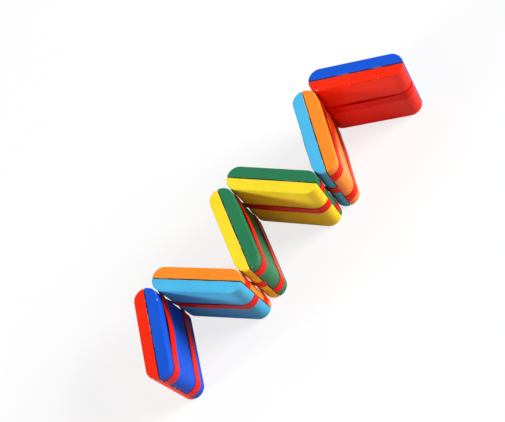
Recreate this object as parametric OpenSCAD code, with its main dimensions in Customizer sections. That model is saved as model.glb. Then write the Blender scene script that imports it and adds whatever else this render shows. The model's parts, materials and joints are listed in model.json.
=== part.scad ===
// Jacob's ladder toy: six two-colour wooden blocks joined by five crossed ribbon hinges.
// The ladder stands on the long edges of its blocks, folded in a zigzag, with every hinge axis upright.
// Millimetres. +Z is up, +X runs along the zigzag towards block 1, and the origin is under its middle.

/* [Blocks] */
// Length of a block, from one round end to the other
block_l = 48; // [40:0.5:70]
// Width of a block, which is its height as the toy stands
block_w = 42; // [38:0.5:60]
// Thickness of one wooden half, and the radius of its round ends
plate_t = 6.2; // [4:0.1:9]
// Rounding of the outer long edges of a half
edge_r = 0.5; // [0.3:0.1:1.5]

/* [Ribbons] */
// Width of a ribbon
ribbon_w = 6; // [4:0.1:8]
// Thickness of a ribbon, which is also the seam between two halves
ribbon_t = 0.3; // [0.2:0.05:0.5]
// Distance from the side of a block to its outer ribbon
ribbon_margin = 5.4; // [3:0.1:8]
// Length of ribbon that is glued into a seam
tail_l = 10; // [6:0.5:14]
// Air between a ribbon and the wood that it lies on
ribbon_air = 0.05; // [0.02:0.01:0.1]

/* [Hinges] */
// Room left between the ribbons of two block ends that meet at a hinge
hinge_slack = 0.1; // [0.05:0.05:1]
// Opening between blocks 1 and 2, in degrees
open_1 = 76.5; // [40:0.5:140]
// Opening between blocks 2 and 3, in degrees
open_2 = 62.5; // [40:0.5:140]
// Opening between blocks 3 and 4, in degrees
open_3 = 55; // [40:0.5:140]
// Opening between blocks 4 and 5, in degrees
open_4 = 59; // [40:0.5:140]
// Opening between blocks 5 and 6, in degrees
open_5 = 68; // [40:0.5:140]

/* [Glue] */
// Distance from the side of a block to its glue line
glue_inset = 1.5; // [0.5:0.1:4]
// Distance from a ribbon's end to the glue line
glue_gap = 0.5; // [0.2:0.1:2]

/* [Hidden] */
$fn = 96;
block_count = 6;
blocks = [1 : block_count];
hinges = [1 : block_count - 1];
// A block has an outer half on each side of its seam: -1 and +1 along its thickness
sides = [-1, 1];
// Ribbon lanes across a block: lower, middle and upper
lanes = [-1, 0, 1];
lane_names = ["lower", "middle", "upper"];

// Colours of the halves, from block 1 to block 6
paints_minus = ["blue", "sky", "green", "yellow", "orange", "red"];
paints_plus = ["red", "orange", "yellow", "green", "sky", "blue"];
paint_names = ["blue", "red", "sky", "orange", "green", "yellow"];
paint_shades = ["#1f5cd6", "#f5301a", "#54bfe8", "#fb962e", "#2e7a54", "#fee23d"];
ribbon_shade = "#c4190f";
glue_shade = "#3a2c20";

// Round ends: their axes lie on the inner faces of the halves
end_u = block_l / 2 - plate_t;
// A ribbon lies between these two radii where it wraps a round end
wrap_in = plate_t + ribbon_air;
wrap_out = wrap_in + ribbon_t;
wrap_mid = (wrap_in + wrap_out) / 2;
// Distance between the two round-end axes that roll on each other at a hinge: each end may carry a ribbon
axis_gap = 2 * wrap_out + hinge_slack;
// A taut ribbon crosses the line between the two axes at this angle from square
cross_angle = acos(2 * wrap_mid / axis_gap);
// Length of ribbon that touches neither block
free_l = sqrt(axis_gap ^ 2 - 4 * wrap_mid ^ 2);
// Distance between the middle ribbon and an outer one
lane_step = block_w / 2 - ribbon_margin - ribbon_w / 2;

openings = [open_1, open_2, open_3, open_4, open_5];
// Turn of each block end from the line between the two hinge axes
function lean(j) = (180 - openings[j - 1]) / 2;
// Hinges fold to alternate sides of the ladder
function fold_side(j) = j % 2 == 1 ? 1 : -1;

// The chain before it is turned along X: block 1 lies at the origin
function along(a) = [cos(a), sin(a)];
function across(a) = [-sin(a), cos(a)];
function raw_heading(i) = i == 1 ? 0 : raw_heading(i - 1) + fold_side(i - 1) * 2 * lean(i - 1);
function raw_axis(i, end, side) =
  raw_centre(i) + end * end_u * along(raw_heading(i)) + side * ribbon_t / 2 * across(raw_heading(i));
function raw_centre(i) = i == 1 ? [0, 0] :
  let (j = i - 1, side = fold_side(j), line = raw_heading(j) + side * lean(j))
  raw_axis(j, 1, side) + axis_gap * along(line)
  + end_u * along(raw_heading(i)) - side * ribbon_t / 2 * across(raw_heading(i));

// The whole chain is turned so that it runs along X, and centred
run = raw_centre(1) - raw_centre(block_count);
run_angle = atan2(run.y, run.x);
function turned(p) = [p.x * cos(run_angle) + p.y * sin(run_angle), p.y * cos(run_angle) - p.x * sin(run_angle)];
end_axes = [for (i = blocks) for (end = sides) for (side = sides) turned(raw_axis(i, end, side))];
box_middle = [
  (max([for (p = end_axes) p.x]) + min([for (p = end_axes) p.x])) / 2,
  (max([for (p = end_axes) p.y]) + min([for (p = end_axes) p.y])) / 2,
];
function heading(i) = raw_heading(i) - run_angle;
function centre(i) = turned(raw_centre(i)) - box_middle;
function hinge_line(j) = heading(j) + fold_side(j) * lean(j);
function hinge_middle(j) = turned(raw_axis(j, 1, fold_side(j))) - box_middle + axis_gap / 2 * along(hinge_line(j));

// At odd hinges the middle ribbon lies on the first block of the pair, at even hinges the outer two do
function lies_on_first(j, lane) = (lane == 0) == (j % 2 == 1);
function ribbon_block(j, lane) = lies_on_first(j, lane) ? j : j + 1;
function ribbon_hinge_end(j, lane) = lies_on_first(j, lane) ? 1 : -1;
function lane_bottom(lane) = block_w / 2 + lane * lane_step - ribbon_w / 2;

// Names of the nodes
function paint_of(i, side) = side < 0 ? paints_minus[i - 1] : paints_plus[i - 1];
function shade_of(i, side) = paint_shades[search([paint_of(i, side)], paint_names)[0]];
function half_name(i, side) = str("block_", i, "_", paint_of(i, side), "_half");
function glue_name(i) = str("block_", i, "_glue_line");
function ribbon_name(j, lane) = str("hinge_", j, "_", lane_names[lane + 1], "_ribbon");
function middle_crossing_name(j) = str("hinge_", j, "_middle_ribbon_crossing");
function outer_crossings_name(j) = str("hinge_", j, "_outer_ribbon_crossings");
function middle_end_name(j) = str("hinge_", j, "_middle_ribbon_end");
function outer_ends_name(j) = str("hinge_", j, "_outer_ribbon_ends");

// Block frame: X along the block towards the next one, Y through its thickness, Z across its width
module on_block(i) {
  translate(centre(i)) rotate(heading(i)) children();
}

// Hinge frame: X from the first block's axis to the second's, Y towards the inside of the fold
module at_hinge(j) {
  translate(hinge_middle(j)) rotate(hinge_line(j)) mirror([0, fold_side(j) < 0 ? 1 : 0, 0]) children();
}

// Section of a wooden half: thickness along X, block width along Y, outer corners rounded
module half_section() {
  square([plate_t - edge_r, block_w]);
  translate([0, edge_r]) square([plate_t, block_w - 2 * edge_r]);
  for (y = [edge_r, block_w - edge_r]) translate([plate_t - edge_r, y]) circle(edge_r);
}

// Wooden half: a flat plate whose two ends curve round to its inner face
module half(i, side) {
  color(shade_of(i, side))
    on_block(i) mirror([0, side < 0 ? 1 : 0, 0]) translate([0, ribbon_t / 2, 0]) {
      translate([-end_u, 0, 0]) rotate([90, 0, 90]) linear_extrude(2 * end_u) half_section();
      translate([end_u, 0, 0]) rotate_extrude(angle = 90) half_section();
      translate([-end_u, 0, 0]) rotate(90) rotate_extrude(angle = 90) half_section();
    }
}

// Glue line between two halves, clear of the ribbon ends
module glue_line(i) {
  glue_l = block_l - 2 * (tail_l + glue_gap);
  color(glue_shade)
    on_block(i) translate([-glue_l / 2, -ribbon_t / 2, glue_inset])
      cube([glue_l, ribbon_t, block_w - 2 * glue_inset]);
}

// Section of a ribbon where it wraps a round end
module wrap_section(lane) {
  translate([wrap_in, lane_bottom(lane)]) square([ribbon_t, ribbon_w]);
}

// End of a ribbon, held in the seam at the +X end of a block
module seam_end(lane) {
  translate([block_l / 2 - tail_l, -ribbon_t / 2, lane_bottom(lane)])
    cube([tail_l + ribbon_air + ribbon_t, ribbon_t, ribbon_w]);
}

// Long part of a ribbon: from the far seam round the block's end and along its face to the hinge
module ribbon(j, lane) {
  color(ribbon_shade)
    on_block(ribbon_block(j, lane))
      mirror([ribbon_hinge_end(j, lane) > 0 ? 1 : 0, 0, 0]) mirror([0, fold_side(j) < 0 ? 1 : 0, 0]) {
        seam_end(lane);
        translate([end_u, ribbon_t / 2, 0]) rotate_extrude(angle = 90) wrap_section(lane);
        translate([-end_u, ribbon_t / 2 + wrap_in, lane_bottom(lane)]) cube([2 * end_u, ribbon_t, ribbon_w]);
      }
}

// Flexing part of a ribbon: off one round end, across between the blocks and onto the other round end
module crossing(j, lane) {
  color(ribbon_shade)
    at_hinge(j) mirror([lies_on_first(j, lane) ? 0 : 1, 0, 0])
      translate([-axis_gap / 2, 0, 0]) rotate(cross_angle) {
        rotate_extrude(angle = 90 - lean(j) - cross_angle) wrap_section(lane);
        translate([wrap_in, -free_l, lane_bottom(lane)]) cube([ribbon_t, free_l, ribbon_w]);
        // The other round end's axis lies square to the end of the free ribbon
        translate([2 * wrap_mid, -free_l, 0]) rotate(180)
          rotate_extrude(angle = lean(j) - cross_angle) wrap_section(lane);
      }
}

// Last part of a ribbon, glued into the seam of the other block of the pair
module ribbon_end(j, lane) {
  first = lies_on_first(j, lane);
  color(ribbon_shade)
    on_block(first ? j + 1 : j) mirror([first ? 1 : 0, 0, 0]) seam_end(lane);
}

module middle_crossing(j) {
  crossing(j, 0);
}

module outer_crossings(j) {
  for (lane = sides) crossing(j, lane);
}

module middle_end(j) {
  ribbon_end(j, 0);
}

module outer_ends(j) {
  for (lane = sides) ribbon_end(j, lane);
}

for (i = blocks) for (side = sides) half(i, side);
for (i = blocks) glue_line(i);
for (j = hinges) for (lane = lanes) ribbon(j, lane);
for (j = hinges) middle_crossing(j);
for (j = hinges) outer_crossings(j);
for (j = hinges) middle_end(j);
for (j = hinges) outer_ends(j);
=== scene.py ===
import json
import math

import bmesh
import bpy
from mathutils import Matrix, Vector


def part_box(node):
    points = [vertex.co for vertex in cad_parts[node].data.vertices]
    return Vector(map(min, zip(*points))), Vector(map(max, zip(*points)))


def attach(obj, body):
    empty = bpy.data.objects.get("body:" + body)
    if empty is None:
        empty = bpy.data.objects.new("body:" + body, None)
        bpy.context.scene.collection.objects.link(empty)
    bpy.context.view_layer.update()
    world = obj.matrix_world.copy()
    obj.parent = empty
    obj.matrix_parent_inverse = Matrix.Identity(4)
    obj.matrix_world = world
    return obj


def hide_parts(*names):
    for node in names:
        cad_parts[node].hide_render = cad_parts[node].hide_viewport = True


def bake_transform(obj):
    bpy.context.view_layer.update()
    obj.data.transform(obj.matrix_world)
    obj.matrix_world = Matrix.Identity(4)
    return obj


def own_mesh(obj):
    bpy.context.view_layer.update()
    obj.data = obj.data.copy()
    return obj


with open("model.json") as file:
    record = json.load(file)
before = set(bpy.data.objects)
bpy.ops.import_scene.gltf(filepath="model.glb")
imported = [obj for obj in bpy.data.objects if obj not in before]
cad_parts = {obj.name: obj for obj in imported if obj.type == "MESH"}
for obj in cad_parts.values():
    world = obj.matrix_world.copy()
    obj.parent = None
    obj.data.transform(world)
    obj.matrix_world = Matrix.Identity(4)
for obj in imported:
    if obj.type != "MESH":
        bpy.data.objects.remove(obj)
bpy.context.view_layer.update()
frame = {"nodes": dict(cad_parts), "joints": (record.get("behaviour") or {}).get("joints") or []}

bl_info = {
    "name": "Jacob's Ladder Toy",
    "version": (1, 0, 0),
    "blender": (4, 5, 0),
    "location": "View3D > Sidebar > Ladder",
    "description": "Painted wooden blocks and crossed ribbons around the packed ladder",
    "category": "Object",
}

# The frame is in metres; sizes below are written in millimetres
MM = 0.001
# Points closer than this are taken as one
NEAR = 0.01 * MM
JOINTS = {joint["name"]: joint for joint in frame["joints"]}
HINGES = range(1, 6)
BLOCKS = range(1, 7)
SIDES = (-1, 1)
# Colours of the two halves of each block, on its minus and plus side
PAINTS = {
    -1: ("blue", "sky", "green", "yellow", "orange", "red"),
    1: ("red", "orange", "yellow", "green", "sky", "blue"),
}
# Roughness of each dried coat: orange, green and red dried to the best gloss
DULLNESS = {"blue": 0.56, "red": 0.42, "sky": 0.56, "orange": 0.3, "green": 0.38, "yellow": 0.56}
# How far the roughness of a coat wanders to either side
GLOSS_SPREAD = 0.04
# Steps along, across and up the board from one half to the next, in metres
BOARD_STEPS = (0.11, 0.07, 0.05)
# Share of the rounding at the seam that is painted nearly black, as dirt and as painted shade in the groove
DARK_SEAM_SHARE = 0.6
# The three ribbons of a hinge, by their place below or above the middle of the block
LANES = {"lower": -1, "middle": 0, "upper": 1}
# Share of a ribbon's slack that is left at its hinge's longer limit
SLACK_KEEP = 0.03
# The upper ribbons are the slackest, and the middle ones are pulled tightest
LANE_SLACK = {"lower": 0.5, "middle": 0.35, "upper": 1.0}
# Where along a face the slack stands highest: 1 is half-way, and more is nearer the hinge
SLACK_LEAN = 1.3
# Corner rounding of a ribbon's section, as a share of its thickness
RIBBON_CORNER = 0.3
# Steps round the end of a half, across its outer rounding and across its seam rounding
END_STEPS = 28
OUTER_STEPS = 6
SEAM_STEPS = 4
# Steps of a ribbon's bends: round the far end, round an end at the hinge, and out of a seam
FAR_STEPS = 24
HINGE_STEPS = 18
TIGHT_STEPS = 6
# Steps of a ribbon's straights: inside a seam, free between two blocks, and over a face
INSIDE_STEPS = 2
FREE_STEPS = 4
FACE_STEPS = 24
# Edges that turn less than the first are shaded smooth; faces that turn less than the second are joined
SMOOTH_ANGLE = math.radians(40)
FLAT_ANGLE = math.radians(0.5)
# A face looks along an axis when its normal has at least this share of it
FACING = 0.9
# Sockets of a colour Mix node: its share, its two colours and its result
SHARE = 0
COLOUR_A = 6
COLOUR_B = 7
MIXED = 2
# Bands of a Wave texture at scale 1 are this far apart
WAVE_BAND = 0.314
WHITE = (1.0, 1.0, 1.0, 1.0)
# The table is this wide, in metres, and lies a hair below the wood
TABLE_SIZE = 6.0
TABLE_DROP = 0.05 * MM


def linear(hex_colour):
    """An sRGB hex colour as the linear values that shaders use."""
    values = [int(hex_colour[i : i + 2], 16) / 255 for i in (1, 3, 5)]
    return tuple(
        v / 12.92 if v <= 0.04045 else ((v + 0.055) / 1.055) ** 2.4 for v in values
    )


def opaque(colour, share=1.0):
    """A share of a linear colour, with full alpha."""
    return tuple(c * share for c in colour) + (1.0,)


def length_property(name, description, default_mm):
    """A length that a user may change, in metres with its default in millimetres."""
    return bpy.props.FloatProperty(
        name=name,
        description=description,
        default=default_mm * MM,
        min=0.0,
        precision=5,
        unit="LENGTH",
    )


def colour_property(name, description, default_hex):
    """A colour that a user may change, with its default as an sRGB hex value."""
    return bpy.props.FloatVectorProperty(
        name=name,
        description=description,
        default=linear(default_hex),
        min=0.0,
        max=1.0,
        size=3,
        subtype="COLOR",
    )


class LadderSizes(bpy.types.PropertyGroup):
    """Sizes of the blocks and ribbons."""

    block_length: length_property("Block length", "From one round end to the other", 48)
    plate_thickness: length_property("Half thickness", "One wooden half, also the radius of its ends", 6.2)
    edge_rounding: length_property("Outer rounding", "Rounding of the outer long edges", 0.5)
    seam_rounding: length_property("Seam rounding", "Sanded rounding of the edges next to the seam", 0.35)
    ribbon_width: length_property("Ribbon width", "Width of each ribbon", 6)
    ribbon_thickness: length_property("Ribbon thickness", "Thickness of a ribbon and of the seam", 0.3)
    ribbon_air: length_property("Ribbon air", "Air between a ribbon and the wood", 0.05)
    ribbon_margin: length_property("Ribbon margin", "From a block's side to its outer ribbon", 5.4)
    ribbon_slack: length_property("Ribbon slack", "Lift of a ribbon off a face that is folded shut", 0.36)
    tail_length: length_property("Tail length", "Length of ribbon glued into a seam", 10)


class LadderColours(bpy.types.PropertyGroup):
    """Colours of the paints, wood, ribbon, glue and table."""

    blue: colour_property("Blue paint", "Enamel on both end blocks", "#1457d6")
    red: colour_property("Red paint", "Enamel on both end blocks", "#fa2a0a")
    sky: colour_property("Sky paint", "Enamel on blocks 2 and 5", "#4fbeee")
    orange: colour_property("Orange paint", "Enamel on blocks 2 and 5", "#ff9128")
    green: colour_property("Green paint", "Enamel on blocks 3 and 4", "#267a50")
    yellow: colour_property("Yellow paint", "Enamel on blocks 3 and 4", "#ffe42e")
    wood: colour_property("Bare wood", "Wood that shows where the paint is rubbed off", "#e6cda6")
    ribbon: colour_property("Ribbon", "Dyed woven ribbon", "#f61a06")
    glue: colour_property("Glue", "Dried wood glue in the seams", "#3a2a1c")
    floor: colour_property("Floor", "Plain pale table", "#fafafa")
    bounce: colour_property("Table bounce", "Soft warm light that the table throws up", "#d6aea2")


class LadderStage(bpy.types.PropertyGroup):
    """Camera and light."""

    camera_place: bpy.props.FloatVectorProperty(
        name="Camera place",
        description="Where the camera stands",
        default=(-0.05202, -0.27269, 0.49024),
        size=3,
        subtype="TRANSLATION",
    )
    camera_turn: bpy.props.FloatVectorProperty(
        name="Camera turn",
        description="Turn of the camera about X, Y and Z",
        default=tuple(math.radians(a) for a in (22.128, 22.543, -48.258)),
        size=3,
        subtype="EULER",
    )
    lens: bpy.props.FloatProperty(
        name="Lens", description="Focal length on a 36 mm sensor", default=77.1, unit="CAMERA"
    )
    shift: bpy.props.FloatVectorProperty(
        name="Shift", description="Sideways and upward shift of the view", default=(0.0594, 0.0772), size=2
    )
    right_power: bpy.props.FloatProperty(
        name="Right lamp", description="Power of the main soft lamp", default=81.0, unit="POWER"
    )
    left_power: bpy.props.FloatProperty(
        name="Left lamp", description="Power of the soft lamp at the far end", default=16.0, unit="POWER"
    )
    back_power: bpy.props.FloatProperty(
        name="Back lamp", description="Power of the soft lamp behind", default=2.0, unit="POWER"
    )
    room_strength: bpy.props.FloatProperty(
        name="Room light", description="Strength of the even light from all round", default=0.2
    )


def add_node(tree, kind, inputs=(), **settings):
    """Adds one shader node with its settings.

    The inputs map a socket to its value, or to the socket that feeds it.
    """
    node = tree.nodes.new(kind)
    for name, value in settings.items():
        setattr(node, name, value)
    for name, value in dict(inputs).items():
        if isinstance(value, bpy.types.NodeSocket):
            tree.links.new(value, node.inputs[name])
        else:
            node.inputs[name].default_value = value
    return node


def new_material(name):
    """A node material that holds only its output, with its tree and that output."""
    material = bpy.data.materials.new(name)
    material.use_nodes = True
    material.node_tree.nodes.clear()
    return material, material.node_tree, material.node_tree.nodes.new("ShaderNodeOutputMaterial")


def enamel_on_wood(name, colour, wood, dullness):
    """Brushed satin enamel on sanded hardwood.

    An even, saturated coat with faint fibres under it, seams painted dark as dirt and painted shade and
    chipped to pale wood, and a few rubbed specks on its edges.
    """
    material, tree, output = new_material(name)
    place = add_node(tree, "ShaderNodeAttribute", attribute_name="grain").outputs["Vector"]
    edge = add_node(tree, "ShaderNodeAttribute", attribute_name="edge").outputs["Fac"]
    seam = add_node(tree, "ShaderNodeAttribute", attribute_name="seam").outputs["Fac"]
    # Wood fibres under the coat: about 30 mm long and 1.1 mm apart, along the block
    fibres = add_node(
        tree, "ShaderNodeMapping", {"Vector": place, "Scale": (1 / (30 * MM), 1 / (1.1 * MM), 1 / (1.1 * MM))}
    )
    grain = add_node(
        tree,
        "ShaderNodeTexNoise",
        {"Vector": fibres.outputs[0], "Scale": 1.0, "Detail": 3.0, "Roughness": 0.55},
    )
    # Orange peel of the dried coat: dimples about 0.7 mm across
    peel = add_node(
        tree,
        "ShaderNodeTexNoise",
        {"Vector": place, "Scale": 1 / (0.7 * MM), "Detail": 1.0, "Roughness": 0.5},
    )
    # Uneven cover of the coat: patches about 14 mm across
    patches = add_node(
        tree,
        "ShaderNodeTexNoise",
        {"Vector": place, "Scale": 1 / (14 * MM), "Detail": 3.0, "Roughness": 0.6},
    )
    # Edges rubbed in play: specks about 1.5 mm long
    rubs = add_node(
        tree,
        "ShaderNodeTexNoise",
        {"Vector": place, "Scale": 1 / (1.5 * MM), "Detail": 2.0, "Roughness": 0.6},
    )
    # Seam edges where the coat has chipped: stretches about 8 mm long
    stretches = add_node(
        tree, "ShaderNodeMapping", {"Vector": place, "Scale": (1 / (8 * MM), 1 / (3 * MM), 1 / (3 * MM))}
    )
    chips = add_node(
        tree,
        "ShaderNodeTexNoise",
        {"Vector": stretches.outputs[0], "Scale": 1.0, "Detail": 4.0, "Roughness": 0.7},
    )
    # The coat is deeper where it lies thick, and the seam is painted nearly black, as dirt and as painted
    # shade in the groove
    full = opaque(colour)
    deep = opaque(colour, 0.84)
    bare = opaque(wood)
    seam_dirt_and_shade = opaque([c * 0.10 + 0.003 for c in colour])
    cover = add_node(
        tree,
        "ShaderNodeMapRange",
        {"Value": patches.outputs["Fac"], "From Min": 0.3, "From Max": 0.7, "To Min": 0.0, "To Max": 0.5},
    )
    streaks = add_node(
        tree,
        "ShaderNodeMapRange",
        {"Value": grain.outputs["Fac"], "From Min": 0.35, "From Max": 0.7, "To Min": 0.0, "To Max": 0.35},
    )
    uneven = add_node(tree, "ShaderNodeMath", {0: cover.outputs[0], 1: streaks.outputs[0]}, operation="ADD")
    coat = add_node(
        tree,
        "ShaderNodeMix",
        {SHARE: uneven.outputs[0], COLOUR_A: full, COLOUR_B: deep},
        data_type="RGBA",
    )
    specks = add_node(
        tree,
        "ShaderNodeMapRange",
        {"Value": rubs.outputs["Fac"], "From Min": 0.62, "From Max": 0.74, "To Min": 0.0, "To Max": 0.6},
    )
    worn = add_node(tree, "ShaderNodeMath", {0: specks.outputs[0], 1: edge}, operation="MULTIPLY")
    rubbed = add_node(
        tree,
        "ShaderNodeMix",
        {SHARE: worn.outputs[0], COLOUR_A: coat.outputs[MIXED], COLOUR_B: bare},
        data_type="RGBA",
    )
    chipped = add_node(
        tree,
        "ShaderNodeMapRange",
        {"Value": chips.outputs["Fac"], "From Min": 0.48, "From Max": 0.58, "To Min": 0.0, "To Max": 0.65},
    )
    # Painted shade and dirt in the seam, chipped here and there to bare wood
    chipped_dark_seam = add_node(
        tree,
        "ShaderNodeMix",
        {SHARE: chipped.outputs[0], COLOUR_A: seam_dirt_and_shade, COLOUR_B: bare},
        data_type="RGBA",
    )
    seam_darkened = add_node(
        tree,
        "ShaderNodeMix",
        {SHARE: seam, COLOUR_A: rubbed.outputs[MIXED], COLOUR_B: chipped_dark_seam.outputs[MIXED]},
        data_type="RGBA",
    )
    gloss = add_node(
        tree,
        "ShaderNodeMapRange",
        {
            "Value": peel.outputs["Fac"],
            "From Min": 0.3,
            "From Max": 0.7,
            "To Min": dullness - GLOSS_SPREAD,
            "To Max": dullness + GLOSS_SPREAD,
        },
    )
    ridges = add_node(
        tree, "ShaderNodeBump", {"Height": grain.outputs["Fac"], "Strength": 0.3, "Distance": 0.04 * MM}
    )
    skin = add_node(
        tree,
        "ShaderNodeBump",
        {
            "Height": peel.outputs["Fac"],
            "Strength": 0.15,
            "Distance": 0.015 * MM,
            "Normal": ridges.outputs[0],
        },
    )
    shader = add_node(
        tree,
        "ShaderNodeBsdfPrincipled",
        {
            "Base Color": seam_darkened.outputs[MIXED],
            "Roughness": gloss.outputs[0],
            "IOR": 1.5,
            "Specular IOR Level": 0.16,
            "Normal": skin.outputs[0],
        },
    )
    tree.links.new(shader.outputs[0], output.inputs["Surface"])
    return material


def satin_ribbon(name, colour):
    """Dyed woven satin ribbon.

    Fine cross ribs, a soft gloss where it turns, and a tight selvedge along both edges, painted darker as
    contact shadow where the ribbon meets the wood.
    """
    material, tree, output = new_material(name)
    place = add_node(tree, "ShaderNodeAttribute", attribute_name="weave").outputs["Vector"]
    parts = add_node(tree, "ShaderNodeSeparateXYZ", {0: place})
    # Weft ribs are 0.25 mm apart on such ribbon, drawn 0.7 mm apart so that they show
    ribs = add_node(
        tree,
        "ShaderNodeTexWave",
        {
            "Vector": place,
            "Scale": WAVE_BAND / (0.7 * MM),
            "Distortion": 0.6,
            "Detail": 1.0,
            "Detail Scale": 2.0,
        },
        bands_direction="X",
    )
    # Warp threads along the ribbon are finer still, and drawn 0.6 mm apart so that they show
    threads = add_node(
        tree,
        "ShaderNodeTexWave",
        {
            "Vector": place,
            "Scale": WAVE_BAND / (0.6 * MM),
            "Distortion": 0.4,
            "Detail": 1.0,
            "Detail Scale": 2.0,
        },
        bands_direction="Y",
    )
    weave = add_node(
        tree, "ShaderNodeMath", {0: ribs.outputs["Fac"], 1: threads.outputs["Fac"]}, operation="MULTIPLY"
    )
    # Dye takes unevenly over lengths of about 8 mm
    dye = add_node(
        tree, "ShaderNodeTexNoise", {"Vector": place, "Scale": 1 / (8 * MM), "Detail": 3.0, "Roughness": 0.6}
    )
    # The cloth is darker between the ribs and where more dye took, and darkest at the selvedge, which also
    # carries painted contact shadow
    full = opaque(colour)
    hollow = opaque(colour, 0.88)
    deep = opaque(colour, 0.9)
    selvedge_shade_colour = opaque(colour, 0.45)
    cloth = add_node(
        tree,
        "ShaderNodeMix",
        {SHARE: weave.outputs[0], COLOUR_A: hollow, COLOUR_B: full},
        data_type="RGBA",
    )
    uneven = add_node(
        tree,
        "ShaderNodeMapRange",
        {"Value": dye.outputs["Fac"], "From Min": 0.35, "From Max": 0.7, "To Min": 0.0, "To Max": 0.6},
    )
    dyed = add_node(
        tree,
        "ShaderNodeMix",
        {SHARE: uneven.outputs[0], COLOUR_A: cloth.outputs[MIXED], COLOUR_B: deep},
        data_type="RGBA",
    )
    # Selvedge: the outer 0.5 mm of each edge is bound tighter, and is painted darker as contact shadow along
    # the ribbon's edges
    across_way = add_node(tree, "ShaderNodeMath", {0: parts.outputs["Y"]}, operation="ABSOLUTE")
    selvedge_and_shade = add_node(
        tree,
        "ShaderNodeMapRange",
        {
            "Value": across_way.outputs[0],
            "From Min": 2.5 * MM,
            "From Max": 2.85 * MM,
            "To Min": 0.0,
            "To Max": 0.75,
        },
    )
    # Painted contact shadow along both edges, laid over the selvedge
    shaded_edges = add_node(
        tree,
        "ShaderNodeMix",
        {SHARE: selvedge_and_shade.outputs[0], COLOUR_A: dyed.outputs[MIXED], COLOUR_B: selvedge_shade_colour},
        data_type="RGBA",
    )
    relief = add_node(
        tree, "ShaderNodeBump", {"Height": weave.outputs[0], "Strength": 0.4, "Distance": 0.05 * MM}
    )
    shader = add_node(
        tree,
        "ShaderNodeBsdfPrincipled",
        {
            "Base Color": shaded_edges.outputs[MIXED],
            "Roughness": 0.3,
            "IOR": 1.5,
            "Specular IOR Level": 0.05,
            "Sheen Weight": 0.08,
            "Sheen Roughness": 0.35,
            "Sheen Tint": (1.0, 0.45, 0.35, 1.0),
            "Normal": relief.outputs[0],
        },
    )
    tree.links.new(shader.outputs[0], output.inputs["Surface"])
    return material


def dried_glue(name, colour):
    """Dried wood glue: a dull brown bead, uneven in tone, with a faint skin gloss."""
    material, tree, output = new_material(name)
    place = add_node(tree, "ShaderNodeTexCoord").outputs["Object"]
    # Lumps about 1.5 mm across
    lumps = add_node(tree, "ShaderNodeTexNoise", {"Vector": place, "Scale": 1 / (1.5 * MM), "Detail": 3.0})
    full = opaque(colour)
    deep = opaque(colour, 0.6)
    tone = add_node(
        tree,
        "ShaderNodeMix",
        {SHARE: lumps.outputs["Fac"], COLOUR_A: deep, COLOUR_B: full},
        data_type="RGBA",
    )
    relief = add_node(
        tree, "ShaderNodeBump", {"Height": lumps.outputs["Fac"], "Strength": 0.5, "Distance": 0.1 * MM}
    )
    shader = add_node(
        tree,
        "ShaderNodeBsdfPrincipled",
        {"Base Color": tone.outputs[MIXED], "Roughness": 0.6, "IOR": 1.47, "Normal": relief.outputs[0]},
    )
    tree.links.new(shader.outputs[0], output.inputs["Surface"])
    return material


def pale_table(name, colour, bounce):
    """Matt white table board.

    It takes a faint shadow, throws soft warm light up, and shows white when it is seen or mirrored.
    """
    material, tree, output = new_material(name)
    place = add_node(tree, "ShaderNodeTexCoord").outputs["Object"]
    # Cloudy tone of a sprayed board: patches about 40 mm across
    mottle = add_node(tree, "ShaderNodeTexNoise", {"Vector": place, "Scale": 1 / (40 * MM), "Detail": 2.0})
    full = opaque(colour)
    deep = opaque(colour, 0.98)
    tone = add_node(
        tree,
        "ShaderNodeMix",
        {SHARE: mottle.outputs["Fac"], COLOUR_A: deep, COLOUR_B: full},
        data_type="RGBA",
    )
    seen = add_node(tree, "ShaderNodeLightPath")
    direct = add_node(
        tree,
        "ShaderNodeMath",
        {0: seen.outputs["Is Camera Ray"], 1: seen.outputs["Is Transmission Ray"]},
        operation="MAXIMUM",
    )
    shown = add_node(
        tree, "ShaderNodeMath", {0: direct.outputs[0], 1: seen.outputs["Is Glossy Ray"]}, operation="MAXIMUM"
    )
    warm = opaque(bounce)
    board = add_node(
        tree,
        "ShaderNodeMix",
        {SHARE: shown.outputs[0], COLOUR_A: warm, COLOUR_B: tone.outputs[MIXED]},
        data_type="RGBA",
    )
    matt = add_node(tree, "ShaderNodeBsdfDiffuse", {"Color": board.outputs[MIXED]})
    white = add_node(tree, "ShaderNodeEmission", {"Color": WHITE, "Strength": 1.0})
    # The board takes the shadow near the toy and fades to plain white from 0.5 m to 1.4 m away
    away = add_node(tree, "ShaderNodeVectorMath", {0: place}, operation="LENGTH")
    fade = add_node(
        tree,
        "ShaderNodeMapRange",
        {"Value": away.outputs["Value"], "From Min": 0.5, "From Max": 1.4, "To Min": 0.78, "To Max": 1.0},
        interpolation_type="SMOOTHSTEP",
    )
    # In a gloss the board keeps most of its shadow, so that paint in a fold isn't lit from a shaded board
    mirror_share = 0.15
    mirrored = add_node(
        tree, "ShaderNodeMath", {0: seen.outputs["Is Glossy Ray"], 1: mirror_share}, operation="MULTIPLY"
    )
    whole = add_node(
        tree, "ShaderNodeMath", {0: direct.outputs[0], 1: mirrored.outputs[0]}, operation="MAXIMUM"
    )
    share = add_node(
        tree, "ShaderNodeMath", {0: whole.outputs[0], 1: fade.outputs[0]}, operation="MULTIPLY"
    )
    surface = add_node(
        tree, "ShaderNodeMixShader", {0: share.outputs[0], 1: matt.outputs[0], 2: white.outputs[0]}
    )
    tree.links.new(surface.outputs[0], output.inputs["Surface"])
    return material


def along(heading):
    """The level direction that a heading points in."""
    return Vector((math.cos(heading), math.sin(heading), 0.0))


def across(heading):
    """The level direction to the left of a heading."""
    return Vector((-math.sin(heading), math.cos(heading), 0.0))


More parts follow.
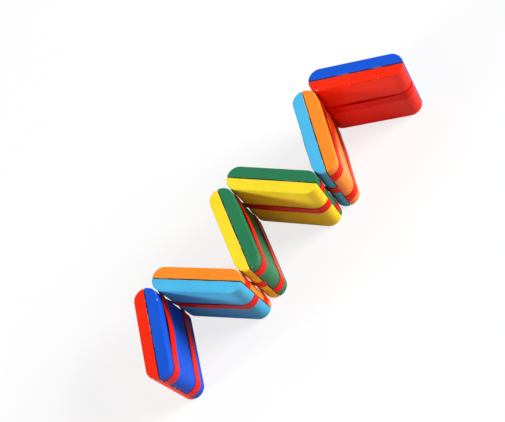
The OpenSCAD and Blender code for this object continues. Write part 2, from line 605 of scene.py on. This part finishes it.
class Layout:
    """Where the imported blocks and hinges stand, worked out from the frame's joints."""

    def __init__(self, sizes):
        self.thick = sizes.plate_thickness
        self.seam = sizes.ribbon_thickness
        self.end_u = sizes.block_length / 2 - self.thick
        self.wrap = self.thick + sizes.ribbon_air + self.seam / 2
        low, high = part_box("block_1_blue_half")
        self.width = high.z - low.z
        self.lane_step = self.width / 2 - sizes.ribbon_margin - sizes.ribbon_width / 2
        self.heading, self.centre, self.side, self.lean = {}, {}, {}, {}
        for hinge in HINGES:
            fold, roll = JOINTS[f"hinge_{hinge}_fold"], JOINTS[f"hinge_{hinge}_roll"]
            first, second = Vector(fold["pos_m"]), Vector(roll["pos_m"])
            gap = second - first
            self.axis_gap = gap.length
            side = self.side[hinge] = 1 if fold["axis"][2] > 0 else -1
            lean = self.lean[hinge] = -math.radians(fold["range_deg"][0])
            line = math.atan2(gap.y, gap.x)
            for block, axis, end, heading in (
                (hinge, first, 1, line - side * lean),
                (hinge + 1, second, -1, line + side * lean),
            ):
                self.heading[block] = heading
                middle = axis - end * self.end_u * along(heading) - side * self.seam / 2 * across(heading)
                self.centre[block] = Vector((middle.x, middle.y, 0.0))
        self.cross = math.acos(2 * self.wrap / self.axis_gap)
        self.free = math.sqrt(self.axis_gap**2 - 4 * self.wrap**2)

    def lies_on_first(self, hinge, lane):
        """At odd hinges the middle ribbon lies on the first block, at even hinges the outer two do."""
        return (lane == 0) == (hinge % 2 == 1)

    def stand(self, block, end, side, height=0.0):
        """Matrix of a block's own space: X towards one end, Y towards one side, Z up."""
        x, y = end * along(self.heading[block]), side * across(self.heading[block])
        matrix = Matrix.Identity(4)
        matrix.col[0][:3], matrix.col[1][:3] = x, y
        matrix.col[3][:3] = self.centre[block] + Vector((0.0, 0.0, height))
        return matrix


def choose_faces(obj, test):
    """In edit mode, selects the faces whose middle and normal pass the test."""
    bpy.ops.mesh.select_mode(type="FACE")
    bpy.ops.mesh.select_all(action="DESELECT")
    mesh = bmesh.from_edit_mesh(obj.data)
    for face in mesh.faces:
        face.select_set(test(face.calc_center_median(), face.normal))
    bmesh.update_edit_mesh(obj.data)


def choose_edges(obj, test):
    """In edit mode, selects the edges whose two ends pass the test."""
    bpy.ops.mesh.select_mode(type="EDGE")
    bpy.ops.mesh.select_all(action="DESELECT")
    mesh = bmesh.from_edit_mesh(obj.data)
    for edge in mesh.edges:
        edge.select_set(test(edge.verts[0].co, edge.verts[1].co))
    bmesh.update_edit_mesh(obj.data)


def start_piece(name):
    """Names the new primitive and puts its size and place into its mesh."""
    obj = bpy.context.active_object
    obj.name = obj.data.name = name
    bpy.ops.object.transform_apply(location=True, rotation=True, scale=True)
    return obj


def smooth_piece(obj):
    """Smooth shading over gentle edges, with the flat faces kept flat."""
    bpy.ops.object.select_all(action="DESELECT")
    obj.select_set(True)
    bpy.context.view_layer.objects.active = obj
    bpy.ops.object.shade_smooth_by_angle(angle=SMOOTH_ANGLE)
    weights = obj.modifiers.new("flat faces lead", "WEIGHTED_NORMAL")
    weights.keep_sharp = True
    bpy.ops.object.modifier_apply(modifier=weights.name)


def copy_piece(pattern, name, matrix):
    """A copy of a pattern with its own mesh, with its place in the mesh."""
    obj = pattern.copy()
    obj.data = pattern.data.copy()
    obj.name = obj.data.name = name
    bpy.context.scene.collection.objects.link(obj)
    obj.data.transform(matrix)
    if matrix.determinant() < 0:
        obj.data.flip_normals()
    smooth_piece(obj)
    return obj


def remove_pattern(pattern):
    """Takes the pattern away once its copies are made."""
    mesh = pattern.data
    bpy.data.objects.remove(pattern)
    bpy.data.meshes.remove(mesh)


def model_half(sizes, layout):
    """One wooden half in its block's own space.

    Its outer face is towards +Y, and its seam face is half a seam from Y = 0.
    """
    thick, width, end_u, seam = layout.thick, layout.width, layout.end_u, layout.seam
    bpy.ops.object.select_all(action="DESELECT")
    bpy.ops.mesh.primitive_cube_add(
        size=1, location=(0, thick / 2, width / 2), scale=(2 * end_u, thick, width)
    )
    obj = start_piece("half_pattern")
    bpy.ops.object.mode_set(mode="EDIT")
    choose_edges(obj, lambda a, b: min(a.y, b.y) > thick - NEAR and abs(a.x - b.x) > end_u)
    bpy.ops.mesh.bevel(
        offset=sizes.edge_rounding, offset_type="OFFSET", segments=OUTER_STEPS, profile=0.5, affect="EDGES"
    )
    for end in (1, -1):
        choose_faces(obj, lambda m, n: m.x * end > end_u - NEAR and n.x * end > FACING)
        bpy.ops.mesh.spin(
            steps=END_STEPS, angle=end * math.pi / 2, center=(end * end_u, 0, 0), axis=(0, 0, 1)
        )
    bpy.ops.mesh.select_all(action="SELECT")
    bpy.ops.mesh.remove_doubles(threshold=0.5 * NEAR)
    bpy.ops.mesh.dissolve_limited(angle_limit=FLAT_ANGLE)
    bpy.ops.mesh.normals_make_consistent(inside=False)
    choose_edges(obj, lambda a, b: max(abs(a.y), abs(b.y)) < NEAR)
    bpy.ops.mesh.bevel(
        offset=sizes.seam_rounding, offset_type="OFFSET", segments=SEAM_STEPS, profile=0.5, affect="EDGES"
    )
    bpy.ops.object.mode_set(mode="OBJECT")
    obj.data.transform(Matrix.Translation((0, seam / 2, 0)))
    # The grain follows the block, outer edges are rubbed, and the rounding at the seam is marked to be
    # painted dark, as dirt and painted shade
    for name, kind in (("grain", "FLOAT_VECTOR"), ("edge", "FLOAT"), ("seam", "FLOAT")):
        obj.data.attributes.new(name, kind, "POINT")
    # A new attribute can move the others, so they are taken up once all are made
    grain, edge, seam_dirt_and_shade = (obj.data.attributes[name] for name in ("grain", "edge", "seam"))
    for vertex in obj.data.vertices:
        x, y, z = vertex.co
        grain.data[vertex.index].vector = (x, y, z)
        depth = math.hypot(max(abs(x) - end_u, 0.0), y - seam / 2)
        from_side = min(z, width - z)
        if thick - depth < sizes.edge_rounding - NEAR and from_side < sizes.edge_rounding - NEAR:
            edge.data[vertex.index].value = 1.0
        # The seam rounding is painted dark: dirt, and painted shade in the groove
        if y - seam / 2 < DARK_SEAM_SHARE * sizes.seam_rounding:
            seam_dirt_and_shade.data[vertex.index].value = 1.0
    return obj


def sweep_ribbon(name, sizes, start, steps):
    """A stretch of ribbon, swept from its start.

    Its section is extruded along each straight and spun round each bend.
    """
    bpy.ops.object.select_all(action="DESELECT")
    bpy.ops.mesh.primitive_plane_add(size=1, location=(start[0], start[1], 0), rotation=(0, math.pi / 2, 0))
    bpy.context.active_object.scale = (sizes.ribbon_width, sizes.ribbon_thickness, 1)
    obj = start_piece(name)
    bpy.ops.object.mode_set(mode="EDIT")
    bpy.ops.mesh.select_mode(type="VERT")
    bpy.ops.mesh.select_all(action="SELECT")
    corner = RIBBON_CORNER * sizes.ribbon_thickness
    bpy.ops.mesh.bevel(offset=corner, offset_type="OFFSET", segments=2, affect="VERTICES")
    bpy.ops.mesh.select_mode(type="FACE")
    bpy.ops.mesh.select_all(action="SELECT")
    for kind, count, *shape in steps:
        if kind == "straight":
            for _ in range(count):
                bpy.ops.mesh.extrude_region_move(
                    TRANSFORM_OT_translate={"value": (shape[0][0] / count, shape[0][1] / count, 0)}
                )
        else:
            # Spin turns clockwise for a positive angle
            centre, angle = shape
            bpy.ops.mesh.spin(steps=count, angle=-angle, center=(centre[0], centre[1], 0), axis=(0, 0, 1))
    bpy.ops.mesh.select_all(action="SELECT")
    bpy.ops.mesh.normals_make_consistent(inside=False)
    bpy.ops.object.mode_set(mode="OBJECT")
    return obj


class LADDER_OT_wooden_halves(bpy.types.Operator):
    """Model one painted wooden half and copy it to both sides of all six blocks"""

    bl_idname = "ladder.wooden_halves"
    bl_label = "Wooden halves"

    def execute(self, context):
        sizes, colours = context.scene.ladder_sizes, context.scene.ladder_colours
        layout = Layout(sizes)
        paints = {
            colour: enamel_on_wood(
                f"{colour} satin enamel on hardwood",
                tuple(getattr(colours, colour)),
                tuple(colours.wood),
                DULLNESS[colour],
            )
            for colour in PAINTS[1]
        }
        pattern = model_half(sizes, layout)
        for block in BLOCKS:
            for side in SIDES:
                colour = PAINTS[side][block - 1]
                piece = copy_piece(pattern, f"painted_half_{block}_{colour}", layout.stand(block, 1, side))
                # Every half is cut from another stretch of board
                onward, sideways, upward = BOARD_STEPS
                shift = Vector((onward * block, sideways * side, upward * block))
                for value in piece.data.attributes["grain"].data:
                    value.vector = value.vector + shift
                piece.data.materials.append(paints[colour])
                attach(piece, f"block_{block}")
                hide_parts(f"block_{block}_{colour}_half")
        remove_pattern(pattern)
        return {"FINISHED"}


class LADDER_OT_ribbons(bpy.types.Operator):
    """Model the ribbons of each hinge, from one block's seam over its face to the other block's seam"""

    bl_idname = "ladder.ribbons"
    bl_label = "Ribbons"

    def execute(self, context):
        sizes, colours = context.scene.ladder_sizes, context.scene.ladder_colours
        layout = Layout(sizes)
        cloth = satin_ribbon("red woven satin ribbon", tuple(colours.ribbon))
        for hinge in HINGES:
            patterns = self.model_hinge(hinge, sizes, layout)
            for lane_name, lane in LANES.items():
                self.lay(hinge, lane_name, lane, patterns, cloth, layout)
            for pattern in patterns.values():
                remove_pattern(pattern)
        return {"FINISHED"}

    def model_hinge(self, hinge, sizes, layout):
        """The stretches of one hinge's ribbons, modelled once for all lanes.

        Each is in its own block's space, with the hinge towards +X and the fold towards +Y.
        """
        half_l, end_u, wrap = sizes.block_length / 2, layout.end_u, layout.wrap
        level = layout.seam / 2
        bend = sizes.seam_rounding + level
        corner = half_l - sizes.seam_rounding + sizes.ribbon_air
        # The tight bend out of the seam ends a little way up the round end
        lift = math.asin(sizes.seam_rounding / wrap)
        lean, cross, free = layout.lean[hinge], layout.cross, layout.free
        leave = lean + cross
        land = lean - cross
        into_seam = corner - (half_l - sizes.tail_length)
        slack = self.slack_at_rest(hinge, sizes, layout)
        stretches = {
            # Out of the far seam and round the far end
            "tail": (
                (-(half_l - sizes.tail_length), 0.0),
                [
                    ("straight", INSIDE_STEPS, (-into_seam, 0.0)),
                    ("bend", TIGHT_STEPS, (-corner, bend), -math.pi / 2),
                    ("bend", FAR_STEPS, (-end_u, level), -(math.pi / 2 - lift)),
                ],
            ),
            # Round the near end and half-way to the next block
            "leave": (
                (end_u, level + wrap),
                [
                    ("bend", HINGE_STEPS, (end_u, level), -(math.pi / 2 - leave)),
                    ("straight", FREE_STEPS, (free / 2 * math.sin(leave), -free / 2 * math.cos(leave))),
                ],
            ),
            # Out of the next block's seam to meet it
            "turn": (
                (half_l - sizes.tail_length, 0.0),
                [
                    ("straight", INSIDE_STEPS, (into_seam, 0.0)),
                    ("bend", TIGHT_STEPS, (corner, bend), math.pi / 2),
                    ("bend", HINGE_STEPS, (end_u, level), land - lift),
                    ("straight", FREE_STEPS, (-free / 2 * math.sin(land), free / 2 * math.cos(land))),
                ],
            ),
        }
        # Over the face, as slack as the lane is
        for lane_name, share in LANE_SLACK.items():
            run = self.slack_run(2 * end_u, share * slack)
            stretches[f"face_{lane_name}"] = ((-end_u, level + wrap), run)
        patterns = {}
        for name, (start, steps) in stretches.items():
            part = patterns[name] = sweep_ribbon(f"{name}_pattern_{hinge}", sizes, start, steps)
            # The weave follows the ribbon: its length round the ends first, then its width
            weave = part.data.attributes.new("weave", "FLOAT_VECTOR", "POINT")
            for vertex in part.data.vertices:
                x, y, z = vertex.co
                way = x
                if abs(x) > end_u:
                    way = math.copysign(end_u + wrap * math.atan2(abs(x) - end_u, y - level), x)
                weave.data[vertex.index].vector = (way, z, 0.0)
        return patterns

    def slack_at_rest(self, hinge, sizes, layout):
        """The lift at rest of a ribbon that is pressed flatter as its hinge folds shut."""
        lean = layout.lean[hinge]
        longer = max(lean, math.pi / 2 - lean)
        return sizes.ribbon_slack / (1 - (1 - SLACK_KEEP) * (math.pi / 2 - lean) / longer)

    def slack_run(self, length, slack):
        """Short straights along a face, which lift the ribbon off the wood, most of all nearer the hinge."""
        shares = [i / FACE_STEPS for i in range(FACE_STEPS + 1)]
        lifts = [slack * math.sin(math.pi * share**SLACK_LEAN) ** 2 for share in shares]
        return [("straight", 1, (length / FACE_STEPS, b - a)) for a, b in zip(lifts, lifts[1:])]

    def lay(self, hinge, lane_name, lane, patterns, cloth, layout):
        """Puts one lane's stretches in place between the bodies that they join."""
        first = layout.lies_on_first(hinge, lane)
        side, height = layout.side[hinge], layout.width / 2 + lane * layout.lane_step
        home, other = (hinge, hinge + 1) if first else (hinge + 1, hinge)
        end = 1 if first else -1
        home_space = layout.stand(home, end, side, height)
        other_space = layout.stand(other, -end, side, height)
        group = "middle" if lane == 0 else "outer"
        pieces = {}
        for name, pattern, space in (
            ("tail", patterns["tail"], home_space),
            ("face", patterns[f"face_{lane_name}"], home_space),
            ("leave", patterns["leave"], home_space),
            ("turn", patterns["turn"], other_space),
        ):
            pieces[name] = copy_piece(pattern, f"ribbon_{hinge}_{lane_name}_{name}", space)
        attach(pieces["tail"], f"block_{home}")
        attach(pieces["face"], f"block_{home}")
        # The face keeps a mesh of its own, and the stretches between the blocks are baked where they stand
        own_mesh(pieces["face"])
        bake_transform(pieces["leave"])
        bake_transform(pieces["turn"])
        plural = "" if lane == 0 else "s"
        for name in ("tail", "face", "leave"):
            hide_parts(f"hinge_{hinge}_{lane_name}_ribbon")
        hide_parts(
            f"hinge_{hinge}_{group}_ribbon_crossing{plural}",
            f"hinge_{hinge}_{group}_ribbon_end{plural}",
        )
        for piece in pieces.values():
            piece.data.materials.append(cloth)


class LADDER_OT_glue_lines(bpy.types.Operator):
    """Give the glue in each seam its finish"""

    bl_idname = "ladder.glue_lines"
    bl_label = "Glue lines"

    def execute(self, context):
        glue = dried_glue("dried wood glue", tuple(context.scene.ladder_colours.glue))
        for block in BLOCKS:
            node = frame["nodes"][f"block_{block}_glue_line"]
            node.data.materials.clear()
            node.data.materials.append(glue)
        return {"FINISHED"}


class LADDER_OT_stage(bpy.types.Operator):
    """Set the pale table, the soft light and the camera"""

    bl_idname = "ladder.stage"
    bl_label = "Stage"

    def execute(self, context):
        scene, stage, colours = context.scene, context.scene.ladder_stage, context.scene.ladder_colours
        bpy.ops.object.select_all(action="DESELECT")
        bpy.ops.mesh.primitive_plane_add(size=TABLE_SIZE, location=(0, 0, -TABLE_DROP))
        floor = start_piece("table")
        board = pale_table("white table board", tuple(colours.floor), tuple(colours.bounce))
        floor.data.materials.append(board)
        self.light_room(scene, stage)
        # The main lamp is veiled, so that a gloss shows the white room and not the lamp's glare
        self.add_lamp(
            "right lamp", place=(1.92, -0.96, 1.08), size=1.05, power=stage.right_power, glare=False
        )
        self.add_lamp("left lamp", place=(-1.46, 0.32, 0.58), size=0.35, power=stage.left_power)
        self.add_lamp("back lamp", place=(0.16, 1.27, 0.96), size=0.7, power=stage.back_power)
        bpy.ops.object.camera_add(location=stage.camera_place, rotation=stage.camera_turn)
        camera = context.active_object
        camera.data.lens = stage.lens
        camera.data.shift_x, camera.data.shift_y = stage.shift
        camera.data.clip_start = 0.01
        scene.camera = camera
        scene.view_settings.view_transform = "Standard"
        return {"FINISHED"}

    def add_lamp(self, name, place, size, power, glare=True):
        """A square soft lamp aimed at the middle of the toy, which a gloss may mirror."""
        bpy.ops.object.light_add(type="AREA", location=place)
        lamp = bpy.context.active_object
        lamp.name = lamp.data.name = name
        lamp.data.size = size
        lamp.data.energy = power
        lamp.visible_glossy = glare
        lamp.rotation_euler = (-Vector(place)).to_track_quat("-Z", "Y").to_euler()

    def light_room(self, scene, stage):
        """Even white light from all round, seen as plain white."""
        world = bpy.data.worlds.new("white studio room")
        world.use_nodes = True
        tree = world.node_tree
        tree.nodes.clear()
        seen = add_node(tree, "ShaderNodeLightPath")
        direct = add_node(
            tree,
            "ShaderNodeMath",
            {0: seen.outputs["Is Camera Ray"], 1: seen.outputs["Is Glossy Ray"]},
            operation="MAXIMUM",
        )
        shown = add_node(
            tree,
            "ShaderNodeMath",
            {0: direct.outputs[0], 1: seen.outputs["Is Transmission Ray"]},
            operation="MAXIMUM",
        )
        light = add_node(tree, "ShaderNodeBackground", {"Color": WHITE, "Strength": stage.room_strength})
        white = add_node(tree, "ShaderNodeBackground", {"Color": WHITE, "Strength": 1.0})
        room = add_node(
            tree, "ShaderNodeMixShader", {0: shown.outputs[0], 1: light.outputs[0], 2: white.outputs[0]}
        )
        add_node(tree, "ShaderNodeOutputWorld", {"Surface": room.outputs[0]})
        scene.world = world


class LADDER_PT_panel(bpy.types.Panel):
    """Lists the sizes, colours and stage settings, and the steps that dress the ladder"""

    bl_idname = "LADDER_PT_panel"
    bl_label = "Jacob's ladder"
    bl_space_type = "VIEW_3D"
    bl_region_type = "UI"
    bl_category = "Ladder"

    def draw(self, context):
        scene = context.scene
        column = self.layout.column()
        for group in (scene.ladder_sizes, scene.ladder_colours, scene.ladder_stage):
            for name in group.__annotations__:
                column.prop(group, name)
        for step in STEPS:
            column.operator(step.bl_idname)


# The operators in the order in which they run
STEPS = (LADDER_OT_wooden_halves, LADDER_OT_ribbons, LADDER_OT_glue_lines, LADDER_OT_stage)
CLASSES = (LadderSizes, LadderColours, LadderStage) + STEPS + (LADDER_PT_panel,)


def register():
    """Makes the classes known and hangs their settings on the scene."""
    for cls in CLASSES:
        bpy.utils.register_class(cls)
    bpy.types.Scene.ladder_sizes = bpy.props.PointerProperty(type=LadderSizes)
    bpy.types.Scene.ladder_colours = bpy.props.PointerProperty(type=LadderColours)
    bpy.types.Scene.ladder_stage = bpy.props.PointerProperty(type=LadderStage)


def unregister():
    """Takes the settings and the classes away again."""
    del bpy.types.Scene.ladder_stage
    del bpy.types.Scene.ladder_colours
    del bpy.types.Scene.ladder_sizes
    for cls in reversed(CLASSES):
        bpy.utils.unregister_class(cls)


def main():
    """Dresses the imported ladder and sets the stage."""
    register()
    bpy.ops.ladder.wooden_halves()
    bpy.ops.ladder.ribbons()
    bpy.ops.ladder.glue_lines()
    bpy.ops.ladder.stage()


if __name__ == "__main__":
    main()
